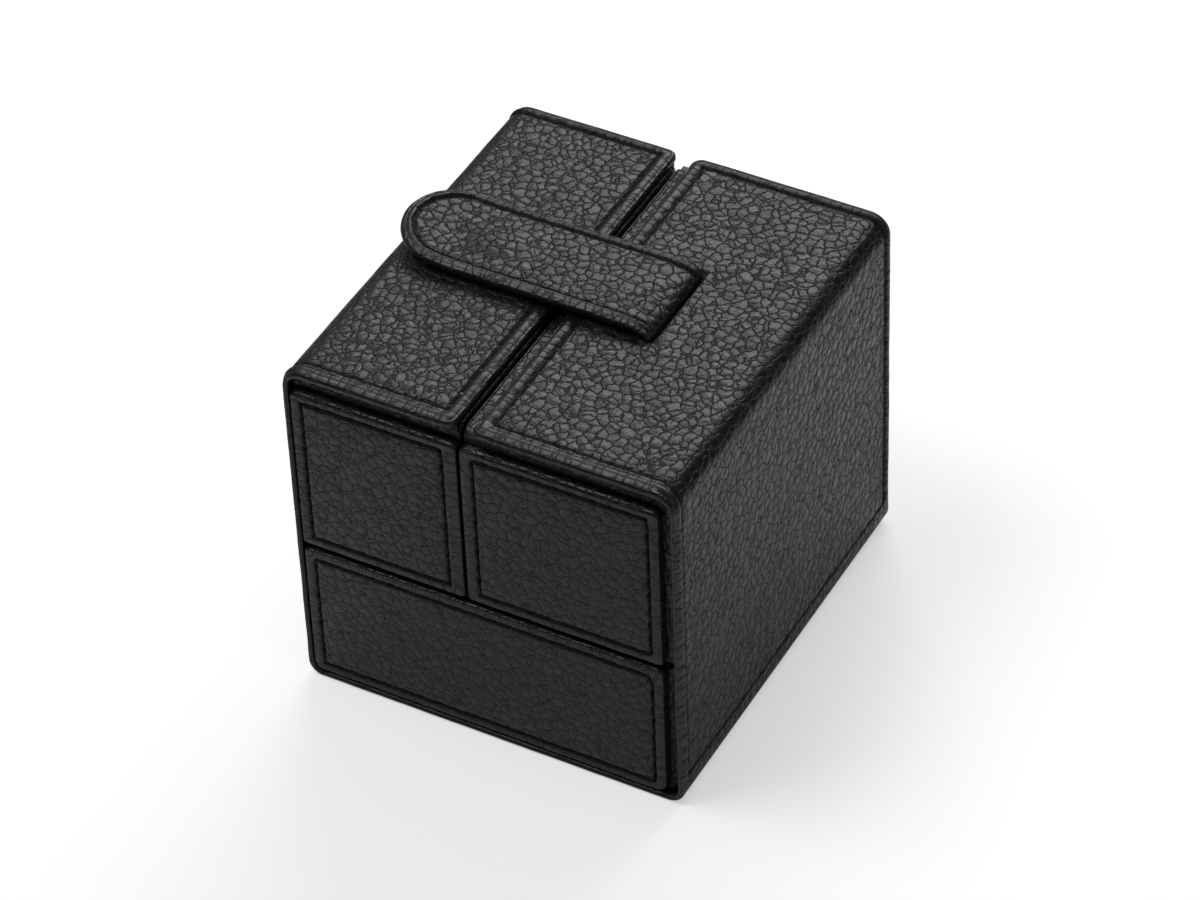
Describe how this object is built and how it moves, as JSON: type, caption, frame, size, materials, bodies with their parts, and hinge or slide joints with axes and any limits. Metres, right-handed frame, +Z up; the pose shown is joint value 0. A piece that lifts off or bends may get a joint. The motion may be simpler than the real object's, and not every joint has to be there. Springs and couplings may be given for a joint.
{
  "type": "watch travel case",
  "caption": "Boxy black pebbled-leather travel case for watches, with stitched trays on fold-out wings and a rounded magnet tab across the top.",
  "frame": {"origin": "centre of the closed case's footprint, on the surface it stands on", "axes": "+Z up, -Y out of the front with the stitched panels, +X towards the wing that carries the tab"},
  "size_m": [0.1, 0.109, 0.099],
  "materials": {
    "black_leather": "pebbled grain, semi-matt",
    "lining_suede": "short-napped suede",
    "cushion_suede": "short-napped suede over foam",
    "grey_board": "bare stiff board",
    "magnet_nickel": "nickel plate",
    "core_plastic": "matt sheet"
  },
  "bodies": {
    "base": {"bottom_leather": "black_leather", "bottom_board": "grey_board", "left_fold_leather": "black_leather", "right_fold_leather": "black_leather", "lower_tray_shell": "black_leather", "lower_tray_lining": "lining_suede", "lower_tray_binding": "black_leather", "lower_front_panel": "black_leather", "lower_back_panel": "black_leather", "lower_left_cover": "black_leather", "lower_right_cover": "black_leather", "tray_divider": "lining_suede", "lower_watch_cushion": "cushion_suede", "accessory_well_pad": "cushion_suede"},
    "right_wing": {"right_wing_leather": "black_leather", "right_side_board": "grey_board", "right_flap_board": "grey_board", "right_side_lining": "lining_suede", "right_tray_shell": "black_leather", "right_tray_lining": "lining_suede", "right_tray_binding": "black_leather", "right_tray_base_cover": "black_leather", "right_front_panel": "black_leather", "right_back_panel": "black_leather", "right_watch_cushion": "cushion_suede", "tab_anchor": "black_leather"},
    "left_wing": {"left_wing_leather": "black_leather", "left_side_board": "grey_board", "left_flap_board": "grey_board", "left_side_lining": "lining_suede", "left_tray_shell": "black_leather", "left_tray_lining": "lining_suede", "left_tray_binding": "black_leather", "left_tray_base_cover": "black_leather", "left_front_panel": "black_leather", "left_back_panel": "black_leather", "left_watch_cushion": "cushion_suede", "keeper_magnet": "magnet_nickel"},
    "tab": {"tab_top_leather": "black_leather", "tab_core": "core_plastic", "tab_under_leather": "black_leather", "tab_magnet": "magnet_nickel"}
  },
  "joints": [
    {"name": "right_wing_fold", "type": "hinge", "parent": "base", "child": "right_wing", "pos_m": [0.04914, 0, 0.00086], "axis": [0, 1, 0], "range_deg": [0, 90]},
    {"name": "left_wing_fold", "type": "hinge", "parent": "base", "child": "left_wing", "pos_m": [-0.04914, 0, 0.00086], "axis": [0, -1, 0], "range_deg": [0, 90]},
    {"name": "tab_lift", "type": "hinge", "parent": "right_wing", "child": "tab", "pos_m": [0.0212, 0.0025, 0.09525], "axis": [0, 1, 0], "range_deg": [0, 100]}
  ],
  "couplings": [
    {"joint": "left_wing_fold", "follows": "right_wing_fold", "ratio": 1}
  ]
}
